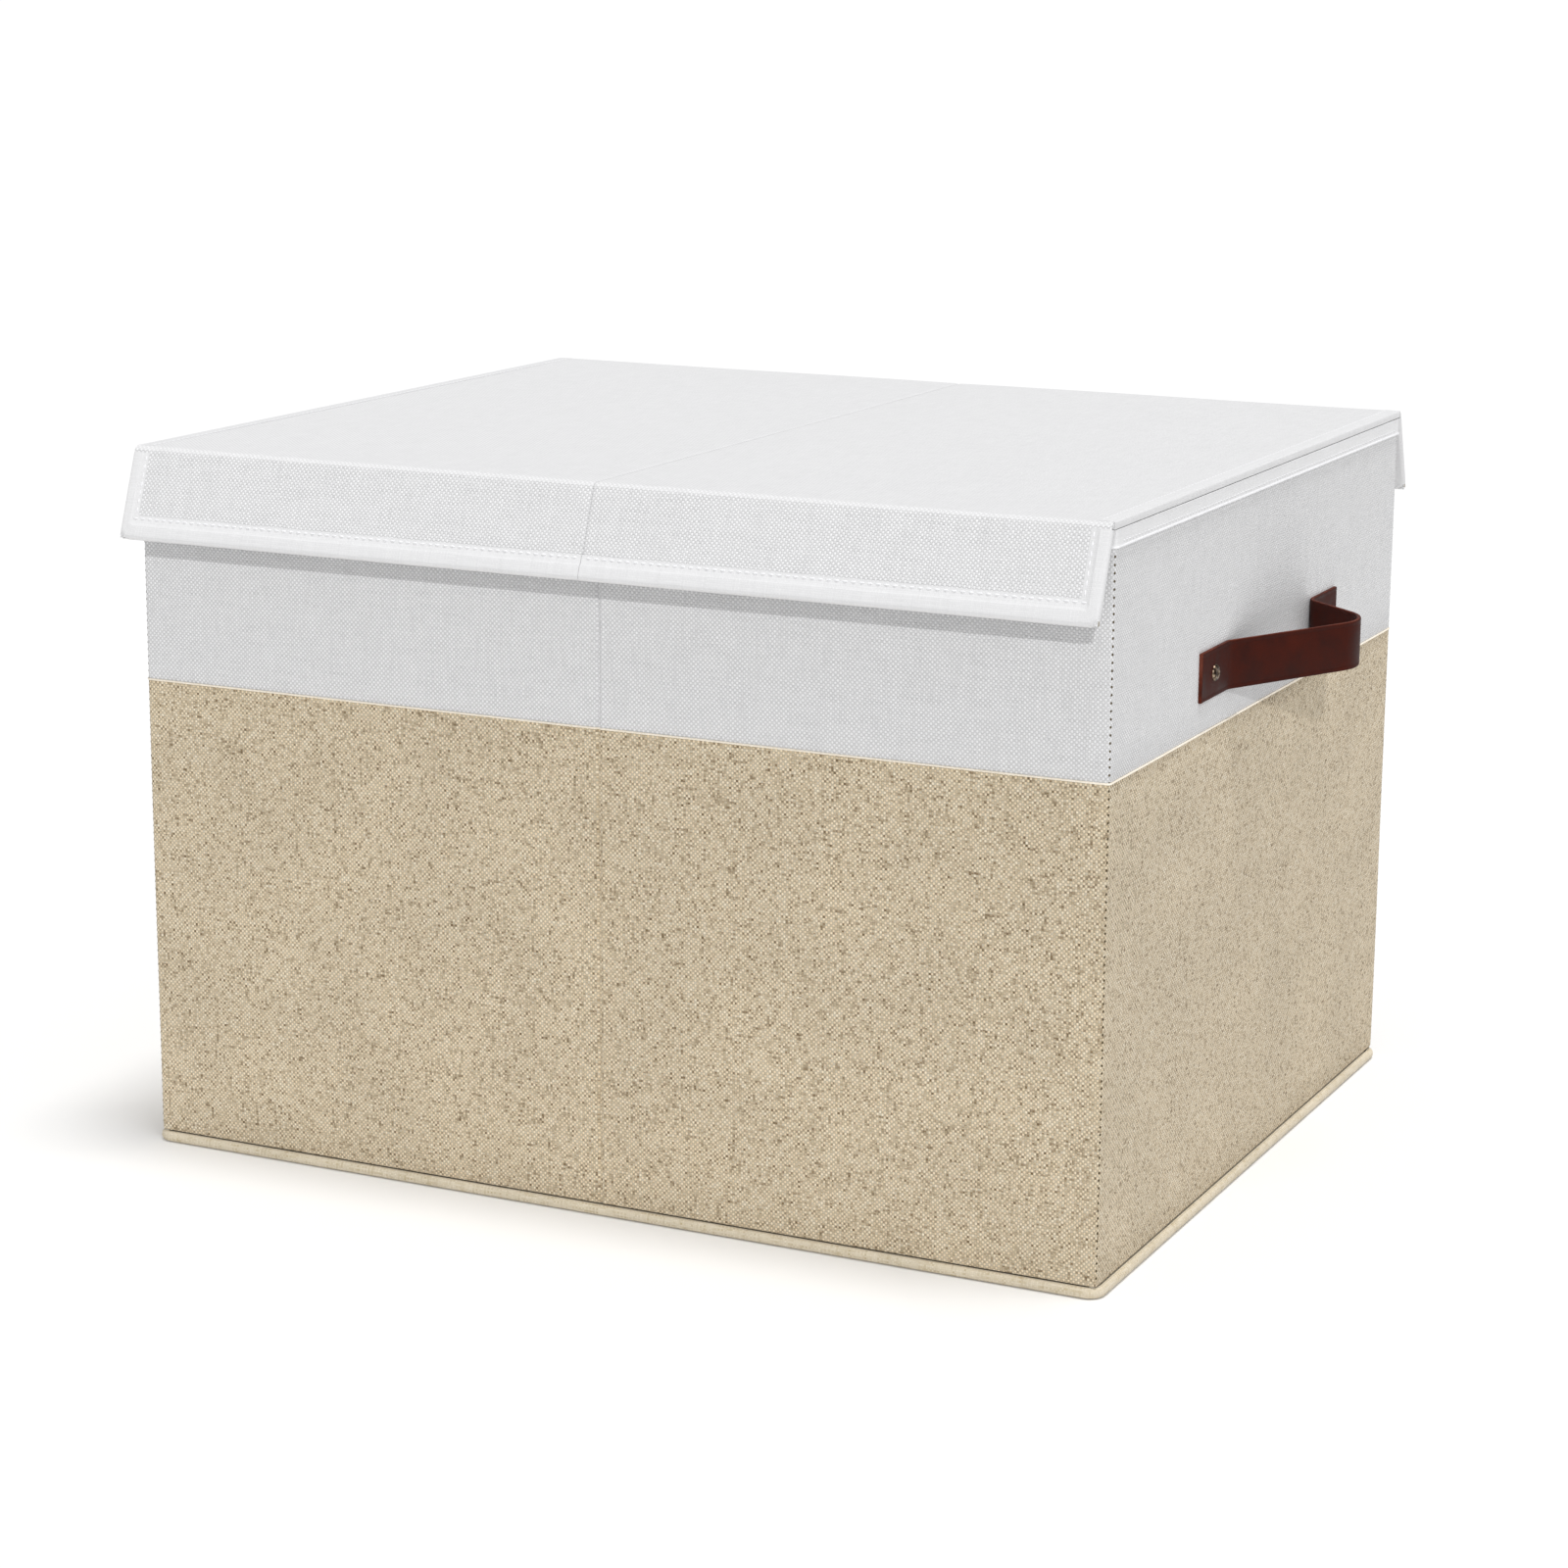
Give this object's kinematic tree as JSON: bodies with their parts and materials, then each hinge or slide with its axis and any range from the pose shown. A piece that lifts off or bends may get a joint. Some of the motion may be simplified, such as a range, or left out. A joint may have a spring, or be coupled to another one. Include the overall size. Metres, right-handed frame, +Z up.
{
  "type": "fabric storage bin",
  "caption": "Collapsible two-tone fabric storage bin with boarded walls, a loose creased lid with hanging flaps, and a riveted leather strap handle on each end.",
  "frame": {"origin": "on the floor under the middle of the bin", "axes": "+X along the width to the right-hand end, +Y from the front wall to the rear wall, +Z up"},
  "size_m": [0.498, 0.39, 0.302],
  "materials": {
    "greyboard": "raw pressed board, covered on both sides",
    "white_cloth": "off-white basket-weave polyester cotton",
    "beige_cloth": "beige linen-look slub weave",
    "white_tape": "off-white woven binding tape",
    "cream_piping": "cream bound seam",
    "lining": "pale non-woven lining",
    "base_felt": "stiff needled felt",
    "leather": "dark red-brown smooth leather",
    "rivet": "antiqued dark bronze"
  },
  "bodies": {
    "left_end": {"base_cloth": "beige_cloth", "base_felt": "base_felt", "left_end_board": "greyboard", "left_end_lining": "lining", "left_end_lower_cloth": "beige_cloth", "left_end_piping": "cream_piping", "left_end_rim_tape": "white_tape", "left_end_upper_cloth": "white_cloth", "left_handle_rivets": "rivet", "left_handle_strap": "leather"},
    "right_end": {"right_end_board": "greyboard", "right_end_lining": "lining", "right_end_lower_cloth": "beige_cloth", "right_end_piping": "cream_piping", "right_end_rim_tape": "white_tape", "right_end_upper_cloth": "white_cloth", "right_handle_rivets": "rivet", "right_handle_strap": "leather"},
    "front_left": {"front_left_board": "greyboard", "front_left_lining": "lining", "front_left_lower_cloth": "beige_cloth", "front_left_piping": "cream_piping", "front_left_rim_tape": "white_tape", "front_left_upper_cloth": "white_cloth"},
    "front_right": {"front_right_board": "greyboard", "front_right_lining": "lining", "front_right_lower_cloth": "beige_cloth", "front_right_piping": "cream_piping", "front_right_rim_tape": "white_tape", "front_right_upper_cloth": "white_cloth"},
    "rear_left": {"rear_left_board": "greyboard", "rear_left_lining": "lining", "rear_left_lower_cloth": "beige_cloth", "rear_left_piping": "cream_piping", "rear_left_rim_tape": "white_tape", "rear_left_upper_cloth": "white_cloth"},
    "rear_right": {"rear_right_board": "greyboard", "rear_right_lining": "lining", "rear_right_lower_cloth": "beige_cloth", "rear_right_piping": "cream_piping", "rear_right_rim_tape": "white_tape", "rear_right_upper_cloth": "white_cloth"},
    "lid_left": {"lid_left_card": "greyboard", "lid_left_end_tape": "white_tape", "lid_left_sleeve": "white_cloth"},
    "lid_right": {"lid_right_card": "greyboard", "lid_right_end_tape": "white_tape", "lid_right_sleeve": "white_cloth"},
    "front_flap_left": {"front_flap_left_card": "greyboard", "front_flap_left_sleeve": "white_cloth", "front_flap_left_tape": "white_tape"},
    "front_flap_right": {"front_flap_right_card": "greyboard", "front_flap_right_sleeve": "white_cloth", "front_flap_right_tape": "white_tape"},
    "rear_flap_left": {"rear_flap_left_card": "greyboard", "rear_flap_left_sleeve": "white_cloth", "rear_flap_left_tape": "white_tape"},
    "rear_flap_right": {"rear_flap_right_card": "greyboard", "rear_flap_right_sleeve": "white_cloth", "rear_flap_right_tape": "white_tape"}
  },
  "joints": [
    {"name": "wall_fold", "type": "hinge", "parent": "left_end", "child": "front_left", "pos_m": [-0.21105, -0.17385, 0], "axis": [0, 0, 1], "range_deg": [0, 54], "deforming": ["base_cloth", "base_felt"]},
    {"name": "front_crease", "type": "hinge", "parent": "front_left", "child": "front_right", "pos_m": [0, -0.17785, 0], "axis": [0, 0, -1], "range_deg": [0, 108]},
    {"name": "front_right_corner", "type": "hinge", "parent": "front_right", "child": "right_end", "pos_m": [0.21105, -0.17385, 0], "axis": [0, 0, 1], "range_deg": [0, 54]},
    {"name": "rear_left_corner", "type": "hinge", "parent": "left_end", "child": "rear_left", "pos_m": [-0.21105, 0.17385, 0], "axis": [0, 0, -1], "range_deg": [0, 54]},
    {"name": "rear_crease", "type": "hinge", "parent": "rear_left", "child": "rear_right", "pos_m": [0, 0.17785, 0], "axis": [0, 0, 1], "range_deg": [0, 108]},
    {"name": "lid_lift", "type": "slide", "parent": "left_end", "child": "lid_left", "axis": [0, 0, 1], "range_m": [0, 0.25]},
    {"name": "lid_fold", "type": "hinge", "parent": "lid_left", "child": "lid_right", "pos_m": [0, 0, 0.3022], "axis": [0, -1, 0], "range_deg": [0, 180]},
    {"name": "front_flap_left_hinge", "type": "hinge", "parent": "lid_left", "child": "front_flap_left", "pos_m": [0, -0.1794, 0.2989], "axis": [-1, 0, 0], "range_deg": [0, 70]},
    {"name": "front_flap_right_hinge", "type": "hinge", "parent": "lid_right", "child": "front_flap_right", "pos_m": [0, -0.1794, 0.2989], "axis": [-1, 0, 0], "range_deg": [0, 70]},
    {"name": "rear_flap_left_hinge", "type": "hinge", "parent": "lid_left", "child": "rear_flap_left", "pos_m": [0, 0.1794, 0.2989], "axis": [1, 0, 0], "range_deg": [0, 70]},
    {"name": "rear_flap_right_hinge", "type": "hinge", "parent": "lid_right", "child": "rear_flap_right", "pos_m": [0, 0.1794, 0.2989], "axis": [1, 0, 0], "range_deg": [0, 70]}
  ],
  "couplings": [
    {"joint": "front_crease", "follows": "wall_fold", "ratio": 2},
    {"joint": "front_right_corner", "follows": "wall_fold", "ratio": 1},
    {"joint": "rear_left_corner", "follows": "wall_fold", "ratio": 1},
    {"joint": "rear_crease", "follows": "wall_fold", "ratio": 2},
    {"joint": "front_flap_left_hinge", "follows": "lid_fold", "ratio": 0.38889},
    {"joint": "front_flap_right_hinge", "follows": "lid_fold", "ratio": 0.38889},
    {"joint": "rear_flap_left_hinge", "follows": "lid_fold", "ratio": 0.38889},
    {"joint": "rear_flap_right_hinge", "follows": "lid_fold", "ratio": 0.38889}
  ]
}
